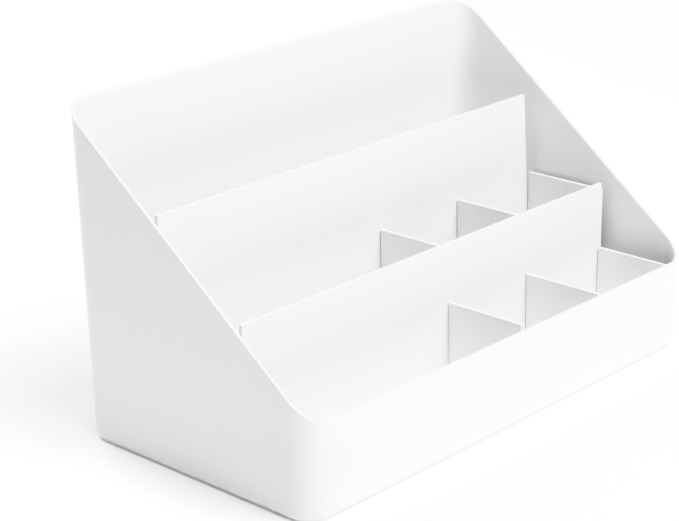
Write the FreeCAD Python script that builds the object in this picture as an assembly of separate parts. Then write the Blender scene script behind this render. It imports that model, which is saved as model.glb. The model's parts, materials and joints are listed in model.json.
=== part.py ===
"""White moulded desk organizer: a sloped tub, a lift-out divider insert and four rubber feet.

Millimetres. +X runs along the width, -Y is the low front, +Z is up. The origin is on the
surface it stands on, under the middle of the tub.
"""

import FreeCAD, Part
import math
import os

from FreeCAD import Vector

# Outer shell: a tub whose walls lean outwards, cut by one sloping plane.
WIDTH = 260.0               # across the side walls, at the back rim
DEPTH = 138.4               # front rim to back rim
BACK_HEIGHT = 150.2
FRONT_HEIGHT = 43.1
WALL = 1.75
CORNER_RADIUS = 11.8        # upright outer corners
SIDE_DRAFT = 0.45           # degrees
FRONT_BACK_DRAFT = 0.9      # degrees
RIM_INNER_ROUND = 0.9       # the rim rolls over to the inside
RIM_OUTER_ROUND = 0.3
FLOOR = 2.0
FOOT_EDGE_ROUND = 2.2       # the walls start to turn under here

# Plinth under the shell, which cuts the turn short, and the rubber feet inside it.
PLINTH_INSET = 1.3          # behind the shell's outer faces
PLINTH_HEIGHT = 0.85        # below the underside
PLINTH_ROOT = 1.0           # above the underside, within the floor
PLINTH_WIDTH = 3.2
FOOT_DIAMETER = 10.0
FOOT_EDGE = 0.2             # rounding of a foot's lower edge
FOOT_PROUD = 0.15           # how far the feet stand below the plinth
FOOT_POCKET = 0.6
FOOT_INSET = 16.0           # foot centre to the shell's outer faces

# Divider insert: a base plate that carries upright panels on pressed-in tabs.
BASE_THICKNESS = 2.0
BASE_GAP = 0.5              # around the plate
PANEL = 1.75                # panel thickness at the top
PANEL_ROUND = 0.25          # along the top edges
CORNER_ROUND = 0.35         # top corners of a panel, seen from the front
TAB_THICKNESS = 1.5
TAB_GAP = 0.05              # slot clearance on each side of a tab
TAB_SHORT = 0.2             # tabs stop this far above the shell's floor

REAR_TOP = 108.0            # rear divider
REAR_FACE_Y = 22.5          # its front face, at the top
REAR_HALF = 120.5           # half its length, at the top
REAR_TAPER = 2.35           # degrees that each end spreads, going down
REAR_LEAN = 1.1             # degrees that the front face comes forward, going down

FRONT_TOP = 72.5            # front divider
FRONT_FACE_Y = -24.7
FRONT_HALF = 120.65
FRONT_TAPER = 0.5
FRONT_LEAN = 0.9

LONG_TAB = 16.0
LONG_TAB_COUNT = 5

# Cross walls: three in each row, and a mirrored end wall on the left.
WALL_LEAN = 1.0             # degrees that the left face comes out, going down
REAR_CLEARANCE = 0.4        # middle row, behind each wall
FRONT_CLEARANCE = 0.25      # front row, behind each wall
TIP_CLEARANCE = 0.4         # middle row, in front of each wall
SHELL_CLEARANCE = 1.3       # front row, in front of each wall
MIDDLE_FIRST_X = 13.25      # left face, at the top
MIDDLE_PITCH = 54.9
MIDDLE_FIRST_TOP = 67.05
MIDDLE_RISE = 0.63          # each wall's top above the one before
FRONT_FIRST_X = 6.0
FRONT_PITCH = 56.0
FRONT_FIRST_TOP = 45.2
FRONT_RISE = -2.2
CROSS_TAB = 8.0

# How near an edge's points must be to a place to count as lying on it.
EDGE_TOLERANCE = 0.01
FACE_TOLERANCE = 0.1

# Levels that follow from the sizes above.
PLINTH_Z = FOOT_PROUD
BODY_Z = PLINTH_Z + PLINTH_HEIGHT
FLOOR_Z = BODY_Z + FLOOR
PANEL_Z = FLOOR_Z + BASE_THICKNESS
SKY = BACK_HEIGHT + 30.0


def slope(degrees):
    """Sideways travel for each millimetre of height."""
    return math.tan(math.radians(degrees))


def shell_limits(z, inset=0.0):
    """Half width, front y and back y of the shell's outer faces at height z, moved inwards."""
    half = WIDTH / 2 - (BACK_HEIGHT - z) * slope(SIDE_DRAFT)
    front = -DEPTH / 2 + (FRONT_HEIGHT - z) * slope(FRONT_BACK_DRAFT)
    back = DEPTH / 2 - (BACK_HEIGHT - z) * slope(FRONT_BACK_DRAFT)
    return half - inset, front + inset, back - inset


def rounded_rectangle(half, front, back, z, radius):
    """Closed wire in the plane of height z."""
    corners = ((half, back, 0), (-half, back, 90), (-half, front, 180), (half, front, 270))
    arcs = []
    for x, y, start in corners:
        centre = Vector(x - math.copysign(radius, x), y - math.copysign(radius, y), z)
        circle = Part.Circle(centre, Vector(0, 0, 1), radius)
        arcs.append(Part.Arc(circle, math.radians(start), math.radians(start + 90)).toShape())
    edges = []
    for arc, following in zip(arcs, arcs[1:] + arcs[:1]):
        edges.append(arc)
        edges.append(Part.makeLine(arc.Vertexes[-1].Point, following.Vertexes[0].Point))
    return Part.Wire(edges)


def tub_block(inset, bottom, top):
    """Solid block inside the shell's outer faces, moved inwards by inset."""
    radius = CORNER_RADIUS - inset
    wires = [rounded_rectangle(*shell_limits(z, inset), z, radius) for z in (bottom, top)]
    return Part.makeLoft(wires, True, True)


def polygon_prism(points, along):
    """Extrude the closed polygon through points by the vector along."""
    wire = Part.makePolygon(points + points[:1])
    return Part.Face(wire).extrude(along)


def above_rim():
    """Everything over the sloping rim plane."""
    reach = DEPTH
    rise = (BACK_HEIGHT - FRONT_HEIGHT) / DEPTH
    low = FRONT_HEIGHT - (reach - DEPTH / 2) * rise
    high = BACK_HEIGHT + (reach - DEPTH / 2) * rise
    points = [
        Vector(-WIDTH, -reach, low),
        Vector(-WIDTH, reach, high),
        Vector(-WIDTH, reach, high + SKY),
        Vector(-WIDTH, -reach, high + SKY),
    ]
    return polygon_prism(points, Vector(2 * WIDTH, 0, 0))


def edges_where(shape, test):
    """Edges whose every vertex passes the test."""
    return [edge for edge in shape.Edges if all(test(vertex.Point) for vertex in edge.Vertexes)]


def rim_height(y):
    return FRONT_HEIGHT + (y + DEPTH / 2) * (BACK_HEIGHT - FRONT_HEIGHT) / DEPTH


def on_rim(point):
    return abs(point.z - rim_height(point.y)) < EDGE_TOLERANCE


def on_outer_rim(point):
    """On the rim plane and on the shell's outer faces."""
    half, front, back = shell_limits(point.z, FACE_TOLERANCE)
    return on_rim(point) and not (abs(point.x) < half and front < point.y < back)


def on_inner_rim(point):
    """On the rim plane and on the shell's inner faces."""
    half, front, back = shell_limits(point.z, WALL - FACE_TOLERANCE)
    return on_rim(point) and abs(point.x) < half and front < point.y < back


def foot_centres():
    half, front, back = shell_limits(BODY_Z, FOOT_INSET)
    return [(x, y) for y in (front, back) for x in (-half, half)]


def foot(x, y, bottom, height, diameter):
    return Part.makeCylinder(diameter / 2, height, Vector(x, y, bottom))


def edges_below(shape, z):
    return edges_where(shape, lambda point: point.z < z + EDGE_TOLERANCE)


def outer_shell():
    body = tub_block(0.0, BODY_Z, SKY)
    body = body.makeFillet(FOOT_EDGE_ROUND, edges_below(body, BODY_Z))
    body = body.cut(tub_block(WALL, FLOOR_Z, SKY + 1.0))
    body = body.cut(above_rim())
    body = body.makeFillet(RIM_INNER_ROUND, edges_where(body, on_inner_rim))
    body = body.makeFillet(RIM_OUTER_ROUND, edges_where(body, on_outer_rim))
    plinth = tub_block(PLINTH_INSET, PLINTH_Z, BODY_Z + PLINTH_ROOT)
    hollow = tub_block(PLINTH_INSET + PLINTH_WIDTH, PLINTH_Z - 1.0, BODY_Z)
    body = body.fuse(plinth.cut(hollow)).removeSplitter()
    for x, y in foot_centres():
        body = body.cut(foot(x, y, BODY_Z, FOOT_POCKET, FOOT_DIAMETER))
    return body


def rubber_foot(x, y):
    pad = foot(x, y, 0.0, BODY_Z + FOOT_POCKET, FOOT_DIAMETER)
    return pad.makeFillet(FOOT_EDGE, edges_below(pad, 0.0))


def tab(x, y, length_x, length_y, clearance=0.0):
    """Tab under a panel, or with a clearance the slot that it goes into."""
    bottom = FLOOR_Z + TAB_SHORT
    if clearance:
        bottom = FLOOR_Z - 1.0
    size = (length_x + 2 * clearance, length_y + 2 * clearance, PANEL_Z - bottom)
    corner = Vector(x - size[0] / 2, y - size[1] / 2, bottom)
    return Part.makeBox(*size, corner)


def long_tabs(face_y, clearance=0.0):
    """Tabs of a long divider whose front face is at face_y."""
    y = face_y + PANEL / 2
    step = 2 * REAR_HALF / LONG_TAB_COUNT
    places = [(index - (LONG_TAB_COUNT - 1) / 2) * step for index in range(LONG_TAB_COUNT)]
    return [tab(x, y, LONG_TAB, TAB_THICKNESS, clearance) for x in places]


def round_top(panel, top, along_x):
    """Round a panel's top corners and then its two long top edges."""
    across = [edge for edge in edges_where(panel, lambda point: point.z > top - EDGE_TOLERANCE)
              if (edge.BoundBox.XLength > edge.BoundBox.YLength) != along_x]
    panel = panel.makeFillet(CORNER_ROUND, across)
    face = max(panel.Faces, key=lambda f: f.CenterOfMass.z)
    lengthways = [edge for edge in face.Edges
                  if (edge.BoundBox.XLength > edge.BoundBox.YLength) == along_x]
    return panel.makeFillet(PANEL_ROUND, lengthways)


def long_divider(top, face_y, half, taper, lean):
    """Upright panel across the width: its back is upright and its front leans forward."""
    height = top - PANEL_Z
    back = face_y + PANEL
    foot_y = face_y - height * slope(lean)
    foot_half = half + height * slope(taper)
    section = [
        Vector(-WIDTH, back, top),
        Vector(-WIDTH, face_y, top),
        Vector(-WIDTH, foot_y, PANEL_Z),
        Vector(-WIDTH, back, PANEL_Z),
    ]
    outline = [
        Vector(-half, -DEPTH, top),
        Vector(half, -DEPTH, top),
        Vector(foot_half, -DEPTH, PANEL_Z),
        Vector(-foot_half, -DEPTH, PANEL_Z),
    ]
    slab = polygon_prism(section, Vector(2 * WIDTH, 0, 0))
    panel = slab.common(polygon_prism(outline, Vector(0, 2 * DEPTH, 0)))
    panel = round_top(panel, top, along_x=True)
    return panel.fuse(long_tabs(face_y)).removeSplitter()


def front_face_y(top, face_y, lean, z):
    """Where a long divider's front face is at height z."""
    return face_y - (top - z) * slope(lean)


def middle_span(z):
    """Front and rear y of a middle-row cross wall at height z."""
    front = FRONT_FACE_Y + PANEL + TIP_CLEARANCE
    rear = front_face_y(REAR_TOP, REAR_FACE_Y, REAR_LEAN, z) - REAR_CLEARANCE
    return front, rear


def front_span(z):
    """Front and rear y of a front-row cross wall at height z."""
    front = shell_limits(z, WALL)[1] + SHELL_CLEARANCE
    rear = front_face_y(FRONT_TOP, FRONT_FACE_Y, FRONT_LEAN, z) - FRONT_CLEARANCE
    return front, rear


def cross_walls(first_x, pitch, first_top, rise):
    """Inner face x, direction of the cell it faces and top height, for each wall of a row."""
    walls = [(first_x + index * pitch, -1, first_top + index * rise) for index in range(3)]
    end_x, _, end_top = walls[-1]
    return [(-end_x, 1, end_top)] + walls


def cross_tabs(x, side, span, clearance=0.0):
    """Two tabs of a cross wall, a quarter of the way in from each end."""
    front, rear = span(PANEL_Z)
    quarter = (rear - front) / 4
    centre = x - side * PANEL / 2
    return [tab(centre, y, TAB_THICKNESS, CROSS_TAB, clearance)
            for y in (front + quarter, rear - quarter)]


def cross_wall(x, side, top, span):
    """Upright panel from front to back, with its leaning face at x on the given side."""
    foot_x = x + side * (top - PANEL_Z) * slope(WALL_LEAN)
    back_x = x - side * PANEL
    section = [
        Vector(back_x, -DEPTH, top),
        Vector(x, -DEPTH, top),
        Vector(foot_x, -DEPTH, PANEL_Z),
        Vector(back_x, -DEPTH, PANEL_Z),
    ]
    top_front, top_rear = span(top)
    foot_front, foot_rear = span(PANEL_Z)
    outline = [
        Vector(-WIDTH, top_front, top),
        Vector(-WIDTH, top_rear, top),
        Vector(-WIDTH, foot_rear, PANEL_Z),
        Vector(-WIDTH, foot_front, PANEL_Z),
    ]
    slab = polygon_prism(section, Vector(0, 2 * DEPTH, 0))
    panel = slab.common(polygon_prism(outline, Vector(2 * WIDTH, 0, 0)))
    panel = round_top(panel, top, along_x=False)
    return panel.fuse(cross_tabs(x, side, span)).removeSplitter()


MIDDLE_WALLS = cross_walls(MIDDLE_FIRST_X, MIDDLE_PITCH, MIDDLE_FIRST_TOP, MIDDLE_RISE)
FRONT_WALLS = cross_walls(FRONT_FIRST_X, FRONT_PITCH, FRONT_FIRST_TOP, FRONT_RISE)
WALL_NAMES = ("left_end", "1", "2", "right_end")


def insert_base():
    """Plate over the whole floor, with a slot for each tab."""
    radius = CORNER_RADIUS - WALL - BASE_GAP
    outline = rounded_rectangle(*shell_limits(FLOOR_Z, WALL + BASE_GAP), FLOOR_Z, radius)
    plate = Part.Face(outline).extrude(Vector(0, 0, BASE_THICKNESS))
    slots = long_tabs(REAR_FACE_Y, TAB_GAP) + long_tabs(FRONT_FACE_Y, TAB_GAP)
    for x, side, _ in MIDDLE_WALLS:
        slots += cross_tabs(x, side, middle_span, TAB_GAP)
    for x, side, _ in FRONT_WALLS:
        slots += cross_tabs(x, side, front_span, TAB_GAP)
    return plate.cut(slots)


def save(name, shape):
    shape.exportStep("parts/" + name + ".step")


os.makedirs("parts", exist_ok=True)
save("outer_shell", outer_shell())
for number, (x, y) in enumerate(foot_centres(), 1):
    save(f"rubber_foot_{number}", rubber_foot(x, y))
save("insert_base", insert_base())
save("rear_divider", long_divider(REAR_TOP, REAR_FACE_Y, REAR_HALF, REAR_TAPER, REAR_LEAN))
save("front_divider", long_divider(FRONT_TOP, FRONT_FACE_Y, FRONT_HALF, FRONT_TAPER, FRONT_LEAN))
for name, (x, side, top) in zip(WALL_NAMES, MIDDLE_WALLS):
    save("middle_wall_" + name, cross_wall(x, side, top, middle_span))
for name, (x, side, top) in zip(WALL_NAMES, FRONT_WALLS):
    save("front_wall_" + name, cross_wall(x, side, top, front_span))
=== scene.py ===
"""Studio view of the white desk organizer.

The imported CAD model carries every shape. This script gives each node its moulded-plastic or
rubber material, and adds the floor, the lights and the camera. Metres and degrees throughout,
apart from the lens and its sensor, which are in millimetres.
"""

import json
import math

import bpy
from mathutils import Matrix, Vector


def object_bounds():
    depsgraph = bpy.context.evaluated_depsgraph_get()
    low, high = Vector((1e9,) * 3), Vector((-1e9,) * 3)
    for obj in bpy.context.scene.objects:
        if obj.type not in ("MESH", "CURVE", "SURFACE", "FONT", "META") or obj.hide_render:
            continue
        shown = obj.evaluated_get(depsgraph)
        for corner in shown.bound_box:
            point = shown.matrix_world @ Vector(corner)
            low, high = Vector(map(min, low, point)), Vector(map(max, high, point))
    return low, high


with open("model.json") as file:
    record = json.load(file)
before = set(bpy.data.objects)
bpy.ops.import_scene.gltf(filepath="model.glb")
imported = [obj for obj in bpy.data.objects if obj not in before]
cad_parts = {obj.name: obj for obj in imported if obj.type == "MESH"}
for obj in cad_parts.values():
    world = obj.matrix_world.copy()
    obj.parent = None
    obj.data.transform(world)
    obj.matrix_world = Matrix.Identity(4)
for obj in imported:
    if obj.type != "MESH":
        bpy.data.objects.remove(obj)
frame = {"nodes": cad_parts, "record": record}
cad_low, cad_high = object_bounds()
centre = (cad_low + cad_high) / 2

# Camera: a long lens, above the low front and round to the left.
LENS = 106.5
SENSOR = 36.0
AZIMUTH = -46.82
ELEVATION = 19.97
ROLL = -0.91
DISTANCE = 0.869
AIM = centre + Vector((-0.0371, 0.0, -0.004))

# Light: large softboxes around a white table, each with an azimuth, an elevation and watts.
# Azimuth 0 is in front of the organizer, and positive turns to its right.
SOFTBOXES = (
    ("front_high", 0.0, 60.0, 59.0),
    ("front", 20.0, 30.0, 9.0),
    ("back_right", 160.0, 25.0, 30.0),
    ("back", 180.0, 45.0, 20.0),
)
SOFTBOX_DISTANCE = 2.2
SOFTBOX_SIZE = 1.6

# Table: a wide sheet of paper that glows a little, as if lit from below.
FLOOR_SIZE = 12.0
TABLE_GLOW = 0.12
TABLE_SPECULAR = 0.1

# Exposure curve: straight up to SHOULDER, then rolling off so that bright plastic keeps its form
# while the table burns out to white above TABLE_LEVEL.
SHOULDER = 0.6
CEILING = 1.02
TABLE_LEVEL = 1.25
TABLE_SLOPE = 0.33
CURVE_WHITE = 1.6
CURVE_STEPS = 16
COMBINED_CURVE = 3          # the one that acts on red, green and blue together

# Surfaces: two colours that drift into each other, a range of roughness, and a grain, given as
# its waves per metre and its depth.
WHITE = ((0.975, 0.975, 0.975), (0.985, 0.985, 0.985))
GREY_RUBBER = ((0.50, 0.50, 0.49), (0.56, 0.56, 0.55))
PAPER = ((0.96, 0.96, 0.96), (0.97, 0.97, 0.97))
SHELL_ROUGHNESS = (0.34, 0.44)
INSERT_ROUGHNESS = (0.36, 0.46)
RUBBER_ROUGHNESS = (0.7, 0.85)
PAPER_ROUGHNESS = (0.8, 0.9)
PLASTIC_GRAIN = (2600.0, 1.5e-5)
RUBBER_GRAIN = (1500.0, 4e-5)
PAPER_GRAIN = (900.0, 2e-5)
GRAIN_STRENGTH = 0.35
REFRACTIVE_INDEX = 1.53

# Noise: waves per metre and octaves of the slow colour drift, the gloss patches and the grain,
# and the middle part of a noise's range, which is spread over a surface's roughness.
DRIFT_SCALE = 18.0
DRIFT_DETAIL = 3.0
PATCH_SCALE = 60.0
PATCH_DETAIL = 5.0
GRAIN_DETAIL = 2.0
NOISE_LOW = 0.3
NOISE_HIGH = 0.7


def nodes_in_slot(slot):
    rows = frame["record"]["subparts"]
    return [frame["nodes"][row["node"]] for row in rows if row["material_slot"] == slot]


def direction(azimuth, elevation):
    """Unit vector towards a place seen at these angles."""
    turn = math.radians(azimuth)
    rise = math.radians(elevation)
    return Vector((
        math.sin(turn) * math.cos(rise),
        -math.cos(turn) * math.cos(rise),
        math.sin(rise),
    ))


def noise(tree, coordinates, scale, detail):
    """Noise texture; scale is in waves per metre."""
    texture = tree.nodes.new("ShaderNodeTexNoise")
    texture.inputs["Scale"].default_value = scale
    texture.inputs["Detail"].default_value = detail
    tree.links.new(coordinates, texture.inputs["Vector"])
    return texture.outputs["Fac"]


def spread(tree, factor, low, high):
    """Map the middle of a noise factor's range to low to high."""
    node = tree.nodes.new("ShaderNodeMapRange")
    node.inputs["From Min"].default_value = NOISE_LOW
    node.inputs["From Max"].default_value = NOISE_HIGH
    node.inputs["To Min"].default_value = low
    node.inputs["To Max"].default_value = high
    tree.links.new(factor, node.inputs["Value"])
    return node.outputs["Result"]


def tint(tree, factor, dark, light):
    """Blend two colours by a noise factor."""
    node = tree.nodes.new("ShaderNodeMix")
    node.data_type = "RGBA"
    node.inputs["A"].default_value = (*dark, 1.0)
    node.inputs["B"].default_value = (*light, 1.0)
    tree.links.new(factor, node.inputs["Factor"])
    return node.outputs["Result"]


def add_grain(tree, shader, place, waves, depth):
    """Fine bumps over the whole surface."""
    bump = tree.nodes.new("ShaderNodeBump")
    bump.inputs["Strength"].default_value = GRAIN_STRENGTH
    bump.inputs["Distance"].default_value = depth
    tree.links.new(noise(tree, place, waves, GRAIN_DETAIL), bump.inputs["Height"])
    tree.links.new(bump.outputs["Normal"], shader.inputs["Normal"])


def moulded(name, colours, roughness, grain):
    """Moulded surface: slow colour drift, patchy gloss and a fine grain."""
    material = bpy.data.materials.new(name)
    material.use_nodes = True
    tree = material.node_tree
    shader = tree.nodes["Principled BSDF"]
    shader.inputs["IOR"].default_value = REFRACTIVE_INDEX
    place = tree.nodes.new("ShaderNodeTexCoord").outputs["Object"]

    drift = noise(tree, place, DRIFT_SCALE, DRIFT_DETAIL)
    tree.links.new(tint(tree, drift, *colours), shader.inputs["Base Color"])
    patches = noise(tree, place, PATCH_SCALE, PATCH_DETAIL)
    tree.links.new(spread(tree, patches, *roughness), shader.inputs["Roughness"])
    add_grain(tree, shader, place, *grain)
    return material


def shell_plastic():
    return moulded("shell_abs", WHITE, SHELL_ROUGHNESS, PLASTIC_GRAIN)


def insert_plastic():
    return moulded("insert_abs", WHITE, INSERT_ROUGHNESS, PLASTIC_GRAIN)


def foot_rubber():
    return moulded("foot_rubber", GREY_RUBBER, RUBBER_ROUGHNESS, RUBBER_GRAIN)


def floor_paper():
    material = moulded("floor_paper", PAPER, PAPER_ROUGHNESS, PAPER_GRAIN)
    shader = material.node_tree.nodes["Principled BSDF"]
    shader.inputs["Specular IOR Level"].default_value = TABLE_SPECULAR
    shader.inputs["Emission Color"].default_value = (1.0, 1.0, 1.0, 1.0)
    shader.inputs["Emission Strength"].default_value = TABLE_GLOW
    return material


def paint(slot, material):
    for node in nodes_in_slot(slot):
        node.data.materials.clear()
        node.data.materials.append(material)


def add_floor():
    mesh = bpy.data.meshes.new("studio_floor")
    half = FLOOR_SIZE / 2
    corners = [(-half, -half, 0), (half, -half, 0), (half, half, 0), (-half, half, 0)]
    mesh.from_pydata(corners, [], [(0, 1, 2, 3)])
    mesh.materials.append(floor_paper())
    floor = bpy.data.objects.new("studio_floor", mesh)
    bpy.context.scene.collection.objects.link(floor)


def add_softbox(name, azimuth, elevation, watts):
    data = bpy.data.lights.new(name, "AREA")
    data.shape = "DISK"
    data.size = SOFTBOX_SIZE
    data.energy = watts
    light = bpy.data.objects.new(name, data)
    away = direction(azimuth, elevation)
    light.location = centre + away * SOFTBOX_DISTANCE
    light.rotation_euler = (-away).to_track_quat("-Z", "Y").to_euler()
    bpy.context.scene.collection.objects.link(light)


def exposed(light):
    """Scene brightness to picture brightness, both linear."""
    if light < SHOULDER:
        return light
    reach = CEILING - SHOULDER
    rolled = min(light, TABLE_LEVEL)
    value = CEILING - reach * math.exp((SHOULDER - rolled) / reach)
    return value + TABLE_SLOPE * (light - rolled)


def set_exposure_curve():
    view = bpy.context.scene.view_settings
    view.view_transform = "Standard"
    view.use_curve_mapping = True
    mapping = view.curve_mapping
    mapping.white_level = (CURVE_WHITE, CURVE_WHITE, CURVE_WHITE)
    curve = mapping.curves[COMBINED_CURVE]
    curve.points[-1].location = (1.0, exposed(CURVE_WHITE))
    for step in range(1, CURVE_STEPS):
        share = step / CURVE_STEPS
        curve.points.new(share, exposed(share * CURVE_WHITE))
    mapping.update()


def add_camera():
    data = bpy.data.cameras.new("camera")
    data.sensor_width = SENSOR
    data.lens = LENS
    back = direction(AZIMUTH, ELEVATION)
    camera = bpy.data.objects.new("camera", data)
    facing = (-back).to_track_quat("-Z", "Y").to_matrix()
    turned = facing @ Matrix.Rotation(math.radians(ROLL), 3, "Z")
    camera.matrix_world = Matrix.Translation(AIM + back * DISTANCE) @ turned.to_4x4()
    bpy.context.scene.collection.objects.link(camera)
    bpy.context.scene.camera = camera


paint("shell_plastic", shell_plastic())
paint("insert_plastic", insert_plastic())
paint("foot_rubber", foot_rubber())

add_floor()
for name, azimuth, elevation, watts in SOFTBOXES:
    add_softbox(name, azimuth, elevation, watts)
add_camera()
set_exposure_curve()
